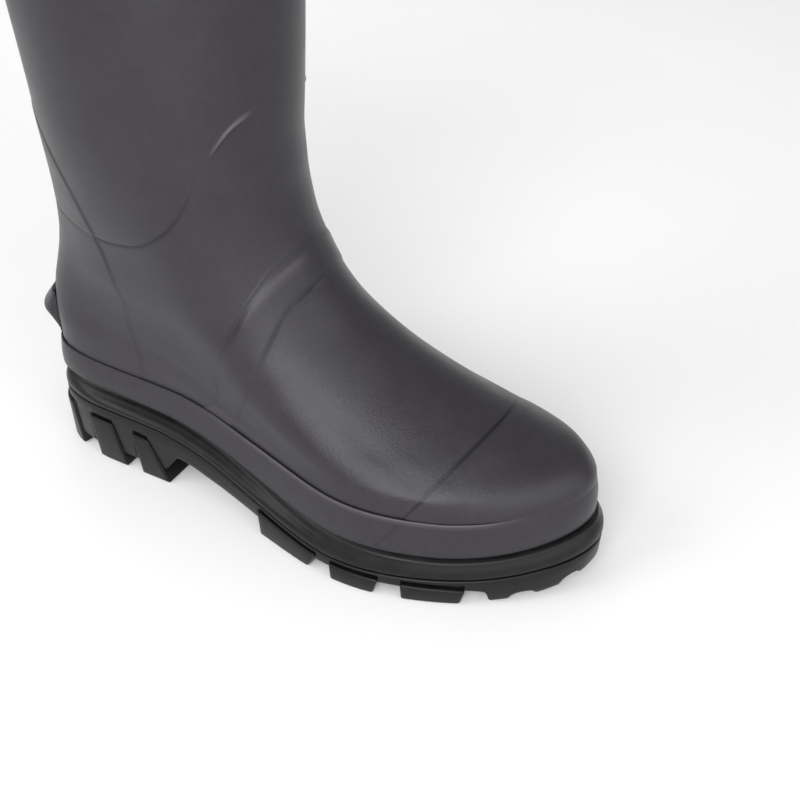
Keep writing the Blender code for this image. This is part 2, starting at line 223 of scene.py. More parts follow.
# Edge of the heel counter on either side: height, turn
COUNTER_EDGE = (
    (0.0, 0.122), (36.0, 0.134), (60.0, 0.157), (92.0, 0.182), (128.0, 0.187), (154.0, 0.181),
    (194.0, 0.133), (205.0, 0.085), (212.0, 0.0),
)

# Rows beside the seam round the ankle: height from it, and how far from it the plain rows stay
NEAR_SEAM = (-7.0, -4.0, -2.4, -1.6, -1.0, -0.5, 0.0, 0.5, 1.0, 1.6, 2.4, 4.0)
BELOW_SEAM = 10.0
ABOVE_SEAM = 7.0
# Seam round the ankle: depth and half width of its groove, share of painted shade in it, turns where the
# groove fades out; turns where it becomes a ridge and runs out, the ridge's lift and half width, share of
# painted highlight
SEAM_DEPTH = 0.40
SEAM_HALF_WIDTH = 1.2
SEAM_SHADE = 0.85
SEAM_FADE = (0.30, 0.375)
RIDGE_TURNS = (0.374, 0.386, 0.414, 0.440)
RIDGE_LIFT = 0.8
RIDGE_HALF_WIDTH = 1.1
RIDGE_HIGHLIGHT = 0.3

# Laid-on sheets' edges: distance in from the edge, share of the lift, painted shade and painted highlight
# shares
CAP_SECTION = (
    (-1.25, -0.30, 0.0, 0.0), (-0.85, 0.12, 0.1, 0.0), (-0.50, 0.12, 0.9, 0.0), (-0.05, 0.12, 1.0, 0.0),
    (0.40, 0.14, 0.9, 0.0), (0.75, 0.18, 0.1, 0.0), (1.60, 0.30, 0.0, 0.0), (3.00, 0.60, 0.0, 0.0),
    (5.00, 0.90, 0.0, 0.0), (7.00, 1.0, 0.0, 0.0),
)
COUNTER_SECTION = (
    (-1.70, -0.30, 0.0, 0.0), (-1.30, 0.12, 0.15, 0.0), (-0.70, 0.12, 0.75, 0.0), (-0.10, 0.12, 1.0, 0.0),
    (0.50, 0.32, 0.8, 0.0), (1.00, 0.68, 0.25, 0.0), (1.60, 0.92, 0.0, 0.0), (2.60, 1.0, 0.0, 0.0),
)
BAND_FRONT_SECTION = (
    (-1.00, -0.25, 0.0, 0.0), (-0.40, 0.05, 0.5, 0.0), (0.10, 0.06, 1.0, 0.0), (0.80, 0.22, 0.7, 0.0),
    (1.80, 0.58, 0.1, 0.0), (2.80, 0.88, 0.0, 0.0), (4.20, 1.0, 0.0, 0.0),
)
BAND_REAR_SECTION = (
    (-3.00, -0.25, 0.0, 0.0), (-2.20, 0.06, 0.15, 0.0), (-0.80, 0.07, 0.7, 0.0), (0.30, 0.09, 1.0, 0.0),
    (1.40, 0.32, 0.7, 0.0), (2.60, 0.74, 0.2, 0.1), (3.60, 1.00, 0.0, 0.7), (4.80, 1.10, 0.0, 1.0),
    (6.20, 1.08, 0.0, 0.6), (9.50, 1.0, 0.0, 0.0),
)
TUCKED = ((0.0, 1.0, 0.0, 0.0),)
CAP_THICKNESS = 0.45
COUNTER_THICKNESS = 0.45
BAND_THICKNESS = 0.7
SHEET_WALL = 0.5
SHEET_SPARE = 1.0

# A point inside the foot that the sheets face away from, in metres
FOOT_INSIDE = (0.0, 0.0, 0.06)

# Heel counter: share of painted shade on its edge at the foot and up the leg, the heights between which it
# changes, least share of its lift, and how far its last row stays below its tip
COUNTER_FAINT = 0.22
COUNTER_PLAIN = 0.90
COUNTER_CHANGE = (85.0, 135.0)
COUNTER_LEAST_LIFT = 0.2
COUNTER_TIP = 0.2

# Instep band: turns where it flattens over the top, heights where it swells, turns where the painted shade on
# its front edge deepens and fades again, heights with a painted highlight on its rear edge, then the shares
# of all these
BAND_OVER = (0.455, 0.490)
BAND_SWELL = (20.0, 80.0)
BAND_NOTCH = (0.430, 0.450, 0.478, 0.498)
BAND_HIGHLIGHT_HEIGHTS = (108.0, 128.0)
BAND_FOOT_SHARE = 0.6
BAND_FLATTER = 0.7
BAND_FRONT_DARK = 0.12
BAND_NOTCH_DARK = 0.8
BAND_REAR_DARK = 0.30
BAND_HIGHLIGHT = 0.2

# Rand: how far its top edge stands off the upper, and at the toe, where it runs out between two turns
RAND_CREST = 1.25
RAND_CREST_TOE = 0.34
RAND_FADE = (0.405, 0.452)
# Painted shade along the rand's top edge: share where it is soft, lengths between which it grows full; share
# of painted highlight on its lip
RAND_LINE_SOFT = 0.55
RAND_LINE_FULL = (90.0, 150.0)
RAND_HIGHLIGHT = 0.36

# Foot of the rand: its height, the height where the face starts, and how far the foot is rounded back
RAND_FOOT = 0.6
RAND_FACE_START = 1.1
RAND_FOOT_ROUND = 0.5

# Edge of the toe cap under the rand, drawn on the rand as a faint line of painted shade: its share, half
# width, distance across it for each millimetre of height
CAP_UNDER_RAND = 0.4
CAP_UNDER_WIDTH = 1.1
CAP_UNDER_STEP = 0.6

# Slope of the rand's face: share of the height, share of the way in to the top edge
RAND_SLOPE = (
    (0.12, 0.0), (0.25, 0.02), (0.38, 0.10), (0.50, 0.24), (0.62, 0.42), (0.74, 0.62), (0.84, 0.79),
)

# Top edge of the rand: drop from the top, distance back from the crest, painted shade share, painted
# highlight share
RAND_EDGE = (
    (1.6, -0.10, 0.0, 0.4), (0.9, -0.04, 0.0, 1.0), (0.45, 0.08, 0.0, 1.0), (0.2, 0.26, 0.2, 0.3),
    (0.05, 0.5, 0.9, 0.0),
)

# Back of the rand's top edge: back from the crest, most that it stands off the upper, depths of tucked rows
RAND_TURN = 0.6
RAND_TURN_MOST = 0.35
RAND_TUCK = 0.3
RAND_TUCK_LOW = 0.1

# Rows and columns of the meshes
SHELL_COLUMNS = 288
FOOT_ROWS = 110
LEG_ROWS = 64
LINING_ROWS = 48
SHEET_ROWS = 24
SHEET_TRIES = 161
CAP_COLUMNS = 201
COUNTER_FOOT_ROWS = 84
COUNTER_LEG_ROWS = 48
BAND_COLUMNS = 241
RAND_ROWS = 19
SPUR_COLUMNS = 49
SPUR_BACK_ROWS = 7
SOLE_COLUMNS = 640
OUTLINE_TRIES = 501


def hermite(t, span, start, start_slope, end, end_slope):
    """Cubic between two values with the slopes that it has there."""
    rest = 1.0 - t
    return (
        start * (1.0 + 2.0 * t) * rest * rest
        + start_slope * span * t * rest * rest
        + end * t * t * (3.0 - 2.0 * t)
        - end_slope * span * t * t * rest
    )


def column(table, index):
    """Monotone smooth curve through one column of a table, read at any stations of its first column."""
    rows = np.array([[row[0], row[index]] for row in table], float)
    stations, values = rows[:, 0], rows[:, 1]
    steps = np.diff(stations)
    rises = np.diff(values) / steps
    slopes = np.r_[rises[0], np.zeros(len(steps) - 1), rises[-1]]
    for i in range(1, len(steps)):
        if rises[i - 1] * rises[i] > 0.0:
            near = 2.0 * steps[i] + steps[i - 1]
            far = steps[i] + 2.0 * steps[i - 1]
            slopes[i] = (near + far) / (near / rises[i - 1] + far / rises[i])

    def read(station):
        at = np.clip(station, stations[0], stations[-1])
        i = np.clip(np.searchsorted(stations, at, side="right") - 1, 0, len(steps) - 1)
        t = (at - stations[i]) / steps[i]
        return hermite(t, steps[i], values[i], slopes[i], values[i + 1], slopes[i + 1])

    return read


FEATHER, GROOVE, PLATE_FOOT, LUG_FOOT, LUG_TOP, RAND_HEIGHT, OVERHANG = [
    column(LEVELS, i) for i in range(1, 8)
]
FOOT_SHARE, OVAL_FRONT, OVAL_BACK, OVAL_HALF = [column(RINGS, i) for i in range(1, 5)]
SEAM_HEIGHT = column(SHAFT_SEAM, 1)
COUNTER_TURN = column(COUNTER_EDGE, 1)


def closed_spline(points):
    """Smooth closed curve through the points, as a function of the knot number."""
    count = len(points)
    chords = np.linalg.norm(np.roll(points, -1, axis=0) - points, axis=1)
    rises = (np.roll(points, -1, axis=0) - points) / chords[:, None]
    matrix = np.zeros((count, count))
    right = np.zeros((count, 2))
    for i in range(count):
        before, after = 1.0 / chords[i - 1], 1.0 / chords[i]
        matrix[i, i - 1] = before
        matrix[i, i] = 2.0 * (before + after)
        matrix[i, (i + 1) % count] = after
        right[i] = 3.0 * (before * rises[i - 1] + after * rises[i])
    slopes = np.linalg.solve(matrix, right)

    def read(knot):
        start = np.floor(knot).astype(int)
        i, j = start % count, (start + 1) % count
        t = (knot - start)[..., None]
        return hermite(t, chords[i][..., None], points[i], slopes[i], points[j], slopes[j])

    return read, np.r_[0.0, np.cumsum(chords)]


OUTLINE_AT, LENGTHS = closed_spline(np.array(OUTLINE))


def outline(u):
    """Points on the rand's outline: u is 0 at the back of the heel, 0.5 at the toe, 1 back at the heel."""
    u = np.asarray(u, float) % 1.0
    toe, whole = LENGTHS[TOE_KNOT], LENGTHS[-1]
    length = np.where(u < 0.5, toe * u * 2.0, toe + (whole - toe) * (u - 0.5) * 2.0)
    return OUTLINE_AT(np.interp(length, LENGTHS, np.arange(len(LENGTHS))))


def outward(u):
    """Level directions that point out of the outline."""
    step = 0.001
    along = outline(u + step) - outline(u - step)
    out = np.stack([along[..., 1], -along[..., 0]], axis=-1)
    return out / np.linalg.norm(out, axis=-1, keepdims=True)


def edge(u, offset):
    """Points of the outline moved outward."""
    u = np.asarray(u, float)
    return outline(u) + outward(u) * np.asarray(offset, float)[..., None]


def sole_edge(u, offset):
    """Points on the side of the sole, moved outward."""
    return edge(u, OVERHANG(outline(u)[..., 1]) + offset)


def edge_at(side, y):
    """Outline parameter on the outer (+1) or inner (-1) side where the outline passes a length y."""
    tries = np.linspace(0.0, 0.5, OUTLINE_TRIES)
    return side * np.interp(y, outline(side * tries)[:, 1], tries)


def ease(share):
    """Smooth step from 0 to 1."""
    share = np.clip(share, 0.0, 1.0)
    return share * share * (3.0 - 2.0 * share)


def between(value, start, end):
    """Smooth step from 0 at start to 1 at end."""
    return ease((value - start) / (end - start))


def upper_point(u, height):
    """Points on the outer face of the upper: the foot's outline turns into the ankle's and shaft's ovals."""
    foot = edge(u, np.full(np.shape(u), -RAND_THICKNESS - GAP))
    share = np.maximum(FOOT_SHARE(height), 0.0)
    front, back, half = OVAL_FRONT(height), OVAL_BACK(height), OVAL_HALF(height)
    angle = 2.0 * math.pi * u
    oval_x = half * np.sin(angle)
    oval_y = (front + back) / 2.0 - (front - back) / 2.0 * np.cos(angle)
    x = oval_x + (foot[..., 0] - oval_x) * share ** SIDE_FULLNESS
    y = oval_y + (foot[..., 1] - oval_y) * share
    z = height + FEATHER(foot[..., 1]) * (1.0 - ease(height / LEVEL_HEIGHT))
    return np.stack([x, y, z], axis=-1)


def upper_offset(u, height, offset):
    """Points off the outer face of the upper along its normal, level with the sole at the bottom edge."""
    u, height, offset = np.broadcast_arrays(*[np.asarray(v, float) for v in (u, height, offset)])
    turn, rise = 0.002, 0.5
    around = upper_point(u + turn, height) - upper_point(u - turn, height)
    low, high = np.maximum(height - rise, 0.0), np.minimum(height + rise, COLLAR_HEIGHT)
    normal = np.cross(around, upper_point(u, high) - upper_point(u, low))
    normal /= np.linalg.norm(normal, axis=-1, keepdims=True)
    moved = upper_point(u, height) + normal * offset[..., None]
    start = edge(u, np.full(u.shape, -RAND_THICKNESS - GAP))
    shifted = start + outward(u) * offset[..., None]
    lean = FEATHER(shifted[..., 1]) - FEATHER(start[..., 1])
    moved[..., 2] += lean * (1.0 - ease(height / LEVEL_HEIGHT))
    return moved


def toe_cap_top(u):
    """Heights where the plane of the toe cap's edge cuts the upper, 0 where the upper lies behind it."""
    low, high = np.zeros(np.shape(u)), np.full(np.shape(u), SEAM_HEIGHT(0.0))
    for _ in range(TOE_CAP_HALVINGS):
        height = (low + high) / 2.0
        x, y, z = np.moveaxis(upper_point(u, height), -1, 0)
        in_front = y > TOE_CAP_Y + TOE_CAP_LEAN * z + TOE_CAP_SKEW * x
        low, high = np.where(in_front, height, low), np.where(in_front, high, height)
    return low


def folded(u):
    """Turn counted from the heel to the toe on either side."""
    return 0.5 - np.abs(0.5 - np.asarray(u, float) % 1.0)


# Soft creases where the ankle bends, fullness and hollows over the waist of the sole: turn, height,
# half length (turn), half width, lift (minus is a trough)
CREASES = (
    (0.470, 124.5, 0.030, 3.6, -0.6),
    (0.440, 172.0, 0.090, 9.0, -0.5),
    (0.500, 186.0, 0.110, 10.0, 0.5),
    (0.470, 108.0, 0.090, 9.0, 0.4),
    (0.205, 33.0, 0.060, 11.0, 1.7),
    (0.262, 70.0, 0.070, 40.0, -3.2),
    (0.250, 112.0, 0.085, 70.0, -2.6),
    (0.795, 34.0, 0.065, 12.0, 2.6),
    (0.740, 70.0, 0.070, 40.0, -3.8),
    (0.750, 112.0, 0.085, 70.0, -2.6),
)


def settle(u, height):
    """Lift of the upper from its creases and fullness."""
    lift = 0.0
    for turn, at, reach, width, depth in CREASES:
        lift = lift + depth * np.exp(-(((u % 1.0 - turn) / reach) ** 2 + ((height - at) / width) ** 2))
    return lift


def bare_upper(u, height):
    """Upper's lift, painted shade and painted highlight under its sheets: creases and the seam round the
    ankle.
    """
    u, height = np.broadcast_arrays(np.asarray(u, float), np.asarray(height, float))
    turn = folded(u)
    rise = height - SEAM_HEIGHT(turn)
    shown = 1.0 - between(turn, *SEAM_FADE)
    groove = shown * np.exp(-(rise / SEAM_HALF_WIDTH) ** 2)
    start, full, going, gone = RIDGE_TURNS
    ridge = between(turn, start, full) * (1.0 - between(turn, going, gone))
    fold = ridge * np.exp(-(rise / RIDGE_HALF_WIDTH) ** 2)
    # painted shade in the seam's groove, painted highlight on its ridge
    lift = settle(u, height) - SEAM_DEPTH * groove + RIDGE_LIFT * fold
    return lift, SEAM_SHADE * groove, RIDGE_HIGHLIGHT * fold


def place(points):
    """Turn points in the boot's millimetres into metres about the middle of its footprint."""
    return (np.asarray(points, float) - (CENTRE_X, CENTRE_Y, 0.0)) * MM


def show(name, mesh, materials, slot, *nodes):
    """Put a finished mesh in the scene as a piece of the boot, in place of the CAD nodes it stands for."""
    data = bpy.data.meshes.new(name)
    mesh.to_mesh(data)
    mesh.free()
    data.shade_smooth()
    for material in materials:
        data.materials.append(material)
    piece = bpy.data.objects.new(name, data)
    bpy.context.scene.collection.objects.link(piece)
    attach(piece, "root")
    if nodes:
        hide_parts(*nodes)
    return piece


def bend(points, around=False, along=False, marks=None, inside_from=None):
    """Bend a grid onto rows of points, with its closing edges welded, and keep marks of painted shade and
    highlight.
    """
    points = np.asarray(points, float)
    if around:
        points = np.concatenate([points, points[:, :1]], axis=1)
    if along:
        points = np.concatenate([points, points[:1]], axis=0)
    rows, columns = points.shape[0] - 1, points.shape[1] - 1
    places = place(points)
    mesh = bmesh.new()
    bmesh.ops.create_grid(mesh, x_segments=columns, y_segments=rows, size=1.0)
    marks = marks or {}
    layers = {name: mesh.verts.layers.float.new(name) for name in marks}
    for vert in mesh.verts:
        i = round((vert.co.x + 1.0) / 2.0 * columns)
        j = round((vert.co.y + 1.0) / 2.0 * rows)
        vert.co = places[j, i]
        for name, layer in layers.items():
            values = marks[name]
            vert[layer] = values[j % values.shape[0], i % values.shape[1]]
        vert.index = j
    if inside_from is not None:
        for face in mesh.faces:
            if min(vert.index for vert in face.verts) >= inside_from:
                face.material_index = 1
    bmesh.ops.remove_doubles(mesh, verts=mesh.verts, dist=WELD * MM)
    return mesh


def face_outward(mesh):
    """Turn the faces of a closed mesh outward."""
    bmesh.ops.recalc_face_normals(mesh, faces=mesh.faces)
    if mesh.calc_volume(signed=True) < 0.0:
        bmesh.ops.reverse_faces(mesh, faces=mesh.faces)


def linear(code):
    """sRGB hex colour as linear RGBA."""
    shares = [int(code[i:i + 2], 16) / 255.0 for i in (1, 3, 5)]
    return (*[s / 12.92 if s <= 0.04045 else ((s + 0.055) / 1.055) ** 2.4 for s in shares], 1.0)


def add(tree, kind, inputs=None, **fields):
    """Add a shader node, set its fields, and set or link its inputs."""
    node = tree.nodes.new("ShaderNode" + kind)
    for field, value in fields.items():
        setattr(node, field, value)
    for socket, value in (inputs or {}).items():
        if isinstance(value, bpy.types.NodeSocket):
            tree.links.new(value, node.inputs[socket])
        else:
            node.inputs[socket].default_value = value
    return node


def new_material(name):
    """Empty node material with its shader and the boot's own coordinates."""
    material = bpy.data.materials.new(name)
    material.use_nodes = True
    tree = material.node_tree
    return material, tree, tree.nodes["Principled BSDF"], add(tree, "TexCoord").outputs["Object"]


def laid_rubber():
    """Vulcanised sheet rubber, laid by hand and cured in dry heat.

    Even charcoal with a breath of purple and a broad satin sheen: a fine pebbled grain breaks up the
    highlights and bloom makes faint paler clouds. Painted shade darkens the laid-on edges, the seam and the
    rand's edges, and a painted highlight makes folds and ridges paler.
    """
    grain_mm, grain_depth_mm = 1.3, 0.2
    cloud_mm, fleck_mm = 16.0, 2.6
    instep_mm, ankle_mm = 90.0, 150.0
    material, tree, shader, here = new_material("laid_rubber")
    # the true grain of about 0.3 mm is too fine to show and is drawn coarser
    grain = add(tree, "TexNoise", {
        "Vector": here, "Scale": 1.0 / (grain_mm * MM), "Detail": 3.0, "Roughness": 0.6,
    })
    cloud = add(tree, "TexNoise", {
        "Vector": here, "Scale": 1.0 / (cloud_mm * MM), "Detail": 4.0, "Roughness": 0.55,
    })
    fleck = add(tree, "TexNoise", {"Vector": here, "Scale": 1.0 / (fleck_mm * MM), "Detail": 2.0})
    mottle = add(tree, "Math", {0: cloud.outputs["Fac"], 1: fleck.outputs["Fac"]}, operation="ADD")
    half = add(tree, "Math", {0: mottle.outputs[0], 1: 0.5}, operation="MULTIPLY")
    ramp = add(tree, "ValToRGB", {"Fac": half.outputs[0]})
    ramp.color_ramp.elements[0].position = 0.36
    ramp.color_ramp.elements[0].color = linear("#272429")
    ramp.color_ramp.elements[1].position = 0.64
    ramp.color_ramp.elements[1].color = linear("#2b292e")
    # a Mix node's colours go in at sockets 6 and 7 and come out at 2
    # painted shade darkens the marked seams and edges, and a painted highlight lightens the marked folds,
    # ridges and the rand's lip
    seam = add(tree, "Attribute", attribute_name="seam").outputs["Fac"]
    painted_highlight = add(tree, "Attribute", attribute_name="painted_highlight").outputs["Fac"]
    shaded = add(tree, "Mix", {0: seam, 6: ramp.outputs["Color"], 7: linear("#100e12")}, data_type="RGBA")
    colour = add(tree, "Mix", {0: painted_highlight, 6: shaded.outputs[2], 7: linear("#6b676e")}, data_type="RGBA")
    tree.links.new(colour.outputs[2], shader.inputs["Base Color"])
    dull = add(tree, "MapRange", {
        "Value": cloud.outputs["Fac"], "From Min": 0.3, "From Max": 0.7, "To Min": 0.32, "To Max": 0.40,
    })
    tree.links.new(dull.outputs[0], shader.inputs["Roughness"])
    # the foot is laid over a pebbled last, the leg over a smoother one
    up = add(tree, "SeparateXYZ", {0: here}).outputs["Z"]
    pebbled = add(tree, "MapRange", {
        "Value": up, "From Min": instep_mm * MM, "From Max": ankle_mm * MM, "To Min": 0.65, "To Max": 0.25,
    })
    bump = add(tree, "Bump", {
        "Height": grain.outputs["Fac"], "Strength": pebbled.outputs[0], "Distance": grain_depth_mm * MM,
    })
    tree.links.new(bump.outputs[0], shader.inputs["Normal"])
    shader.inputs["IOR"].default_value = 1.38
    return material


def moulded_sole_rubber():
    """Press-moulded carbon-black sole rubber.

    Near black with a low satin shine from the polished mould, worn duller and paler by dust in patches.
    """
    dust_mm, grit_mm, grit_depth_mm = 9.0, 0.8, 0.08
    material, tree, shader, here = new_material("moulded_sole_rubber")
    dust = add(tree, "TexNoise", {
        "Vector": here, "Scale": 1.0 / (dust_mm * MM), "Detail": 5.0, "Roughness": 0.6,
    })
    grit = add(tree, "TexNoise", {"Vector": here, "Scale": 1.0 / (grit_mm * MM), "Detail": 2.0})
    ramp = add(tree, "ValToRGB", {"Fac": dust.outputs["Fac"]})
    ramp.color_ramp.elements[0].position = 0.38
    ramp.color_ramp.elements[0].color = linear("#0a0a0a")
    ramp.color_ramp.elements[1].position = 0.68
    ramp.color_ramp.elements[1].color = linear("#101010")
    tree.links.new(ramp.outputs["Color"], shader.inputs["Base Color"])
    dull = add(tree, "MapRange", {
        "Value": dust.outputs["Fac"], "From Min": 0.3, "From Max": 0.7, "To Min": 0.30, "To Max": 0.44,
    })
    tree.links.new(dull.outputs[0], shader.inputs["Roughness"])
    bump = add(tree, "Bump", {
        "Height": grit.outputs["Fac"], "Strength": 0.3, "Distance": grit_depth_mm * MM,
    })
    tree.links.new(bump.outputs[0], shader.inputs["Normal"])
    shader.inputs["IOR"].default_value = 1.34
    return material


def jersey_lining():
    """Knitted nylon jersey bonded to the neoprene: black, soft and matt, with fine upright ribs."""
    stitch_mm, stitch_depth_mm, rounds_per_rib = 1.6, 0.2, 1.3
    material, tree, shader, _ = new_material("jersey_lining")
    split = add(tree, "SeparateXYZ", {0: add(tree, "UVMap", uv_map="wall").outputs["UV"]})
    turns_per_mm = 2.0 * math.pi / stitch_mm
    rib = add(tree, "Math", {0: split.outputs["X"], 1: turns_per_mm}, operation="MULTIPLY")
    row = add(tree, "Math", {0: split.outputs["Y"], 1: turns_per_mm * rounds_per_rib}, operation="MULTIPLY")
    wave = add(tree, "Math", {0: rib.outputs[0]}, operation="SINE")
    loop = add(tree, "Math", {0: row.outputs[0]}, operation="SINE")
    knit = add(tree, "Math", {0: wave.outputs[0], 1: loop.outputs[0]}, operation="MAXIMUM")
    shade = add(tree, "MapRange", {"Value": knit.outputs[0], "From Min": -1.0, "From Max": 1.0})
    ramp = add(tree, "ValToRGB", {"Fac": shade.outputs[0]})
    ramp.color_ramp.elements[0].color = linear("#131314")
    ramp.color_ramp.elements[1].color = linear("#2a2a2c")
    tree.links.new(ramp.outputs["Color"], shader.inputs["Base Color"])
    bump = add(tree, "Bump", {"Height": knit.outputs[0], "Strength": 0.6, "Distance": stitch_depth_mm * MM})
    tree.links.new(bump.outputs[0], shader.inputs["Normal"])
    shader.inputs["Roughness"].default_value = 0.9
    shader.inputs["Sheen Weight"].default_value = 0.3
    return material


def pressed_felt():
    """Needle-pressed felt footbed: dark, fibrous and without shine."""
    fibre_mm, fibre_depth_mm = 1.1, 0.3
    material, tree, shader, here = new_material("pressed_felt")
    fibre = add(tree, "TexNoise", {
        "Vector": here, "Scale": 1.0 / (fibre_mm * MM), "Detail": 6.0, "Distortion": 1.5,
    })
    ramp = add(tree, "ValToRGB", {"Fac": fibre.outputs["Fac"]})
    ramp.color_ramp.elements[0].color = linear("#1a1a1b")
    ramp.color_ramp.elements[1].color = linear("#333335")
    tree.links.new(ramp.outputs["Color"], shader.inputs["Base Color"])
    bump = add(tree, "Bump", {
        "Height": fibre.outputs["Fac"], "Strength": 0.7, "Distance": fibre_depth_mm * MM,
    })
    tree.links.new(bump.outputs[0], shader.inputs["Normal"])
    shader.inputs["Roughness"].default_value = 0.95
    return material


RUBBER = laid_rubber()
SOLE_RUBBER = moulded_sole_rubber()
JERSEY = jersey_lining()
FELT = pressed_felt()


def make_upper_shell():
    """Hollow upper: foot and shaft with the seam between them, rolled collar edge and lined inside."""
    turns = (np.arange(SHELL_COLUMNS) + 0.5) / SHELL_COLUMNS
    seam_at = SEAM_HEIGHT(folded(turns))
    below, above = seam_at - BELOW_SEAM, seam_at + ABOVE_SEAM
    top = COLLAR_HEIGHT - RIM_HEIGHT
    heights = [below * share for share in np.linspace(0.0, 1.0, FOOT_ROWS)]
    heights += [seam_at + rise for rise in NEAR_SEAM]
    heights += [above + (top - above) * share for share in np.linspace(0.0, 1.0, LEG_ROWS)]
    lift, dark, painted_highlight = bare_upper(turns[None, :], np.array(heights))
    lifts = list(lift)
    for depth, drop in COLLAR_RIM:
        heights.append(np.full(SHELL_COLUMNS, COLLAR_HEIGHT - drop))
        lifts.append(np.full(SHELL_COLUMNS, -depth))
    inside_from = len(heights) - 1
    for share in np.linspace(1.0, 0.0, LINING_ROWS):
        heights.append(np.full(SHELL_COLUMNS, share * top))
        lifts.append(settle(turns, share * top) - WALL)
    plain = np.zeros((len(heights) - len(dark), SHELL_COLUMNS))
    # painted shade in the seam's groove and painted highlight on its ridge
    marks = {"seam": np.concatenate([dark, plain]), "painted_highlight": np.concatenate([painted_highlight, plain])}
    points = upper_offset(turns[None, :], np.array(heights), np.array(lifts))
    mesh = bend(points, True, True, marks, inside_from)
    face_outward(mesh)
    wall = mesh.loops.layers.uv.new("wall")
    for face in mesh.faces:
        x, y, z = face.calc_center_median()
        turn_here = math.atan2(x, -y - SHAFT_BACK * MM)
        for loop in face.loops:
            x, y, z = loop.vert.co
            turn = math.atan2(x, -y - SHAFT_BACK * MM)
            if turn - turn_here > math.pi:
                turn -= 2.0 * math.pi
            elif turn_here - turn > math.pi:
                turn += 2.0 * math.pi
            loop[wall].uv = (turn / (2.0 * math.pi) * LINING_GIRTH, z / MM)
    return show("upper_shell", mesh, (RUBBER, JERSEY), "upper_rubber", "upper")


def across_sheet(path, along, low, high):
    """Places across a laid-on sheet, low edge to high: turn, height, lift, two painted shade shares, painted
    highlight share.
    """
    low, high = np.array(low), np.array(high)
    fine = np.linspace(0.0, 1.0, SHEET_TRIES)
    track = upper_offset(*path(fine, along), 0.0)
    length = np.r_[0.0, np.cumsum(np.linalg.norm(np.diff(track, axis=0), axis=1))]
    whole = max(length[-1], WELD)
    squeeze = min(1.0, whole / (low[-1, 0] + high[-1, 0] + SHEET_SPARE))
    start, end = low[:, 0] * squeeze, whole - high[::-1, 0] * squeeze
    at = np.r_[start, np.linspace(start[-1], end[0], SHEET_ROWS + 2)[1:-1], end]
    outside = (at < 0.0) | (at > whole)
    share = np.where(outside, at / whole, np.interp(at, length, fine))
    lift = np.r_[low[:, 1], np.ones(SHEET_ROWS), high[::-1, 1]]
    low_dark = np.r_[low[:, 2], np.zeros(SHEET_ROWS + len(high))]
    high_dark = np.r_[np.zeros(len(low) + SHEET_ROWS), high[::-1, 2]]
    painted_highlight = np.r_[low[:, 3], np.zeros(SHEET_ROWS), high[::-1, 3]]
    turn, height = path(share, along)
    height = np.clip(height, 0.0, COLLAR_HEIGHT)
    return turn, height, lift * squeeze, low_dark * squeeze, high_dark * squeeze, painted_highlight * squeeze


def lay_sheet(name, turn, height, lift, dark, painted_highlight):
    """Sheet laid on the upper from rows of turns, heights, lifts off the upper, painted shade and painted
    highlight shares.
    """
    bare_lift, bare_dark, bare_highlight = bare_upper(turn, height)
    # painted shade and painted highlight of the bare upper and of the sheet's edges
    marks = {"seam": np.maximum(bare_dark, dark), "painted_highlight": np.maximum(bare_highlight, painted_highlight)}
    mesh = bend(upper_offset(turn, height, bare_lift + lift), marks=marks)
    bmesh.ops.recalc_face_normals(mesh, faces=mesh.faces)
    mesh.faces.ensure_lookup_table()
    centre = mesh.faces[len(mesh.faces) // 2]
    if centre.normal.dot(centre.calc_center_median() - Vector(FOOT_INSIDE)) < 0.0:
        bmesh.ops.reverse_faces(mesh, faces=mesh.faces)
    piece = show(name, mesh, (RUBBER,), "upper_rubber")
    wall = piece.modifiers.new("sheet", "SOLIDIFY")
    wall.thickness = SHEET_WALL * MM
    wall.offset = -1.0
    return piece


def make_toe_cap():
    """Toe cap from under the rand up to its edge across the vamp."""
    tries = np.linspace(*FRONT_HALF, TOE_CAP_TRIES)
    covered = tries[toe_cap_top(tries) > TOE_CAP_LEAST]
    turns = np.linspace(covered[0], covered[-1], CAP_COLUMNS)
    tops = dict(zip(turns, toe_cap_top(turns)))

    def path(across, u):
        return np.full(across.shape, u), SHEET_FOOT + (tops[u] - SHEET_FOOT) * across

    rows = [across_sheet(path, u, TUCKED, CAP_SECTION) for u in turns]
    # the cap's edge gets painted shade from its section
    turn, height, lift, _, dark, painted_highlight = np.array(rows).transpose(1, 0, 2)
    return lay_sheet("toe_cap", turn, height, lift * CAP_THICKNESS, dark, painted_highlight)


def make_heel_counter():
    """Heel counter from the rand up the back of the leg, its edge plain above the seam and faint below."""
    def path(across, height):
        return COUNTER_TURN(height) * (2.0 * across - 1.0), np.full(across.shape, height)

    seam_at = SEAM_HEIGHT(0.0)
    tip = COUNTER_EDGE[-1][0] - COUNTER_TIP
    foot = np.linspace(SHEET_FOOT, seam_at - BELOW_SEAM, COUNTER_FOOT_ROWS)
    leg = np.linspace(seam_at + ABOVE_SEAM, tip, COUNTER_LEG_ROWS)
    heights = np.r_[foot, seam_at + np.array(NEAR_SEAM), leg]
    rows = [across_sheet(path, height, COUNTER_SECTION, COUNTER_SECTION) for height in heights]
    turn, height, lift, left_dark, right_dark, painted_highlight = np.array(rows).transpose(1, 0, 2)
    plain = COUNTER_FAINT + (COUNTER_PLAIN - COUNTER_FAINT) * between(height, *COUNTER_CHANGE)
    # painted shade along both edges, plainer above the seam
    dark = (left_dark + right_dark) * plain
    lift = lift * COUNTER_THICKNESS * (COUNTER_LEAST_LIFT + (1.0 - COUNTER_LEAST_LIFT) * plain)
    return lay_sheet("heel_counter", turn, height, lift, dark, painted_highlight)


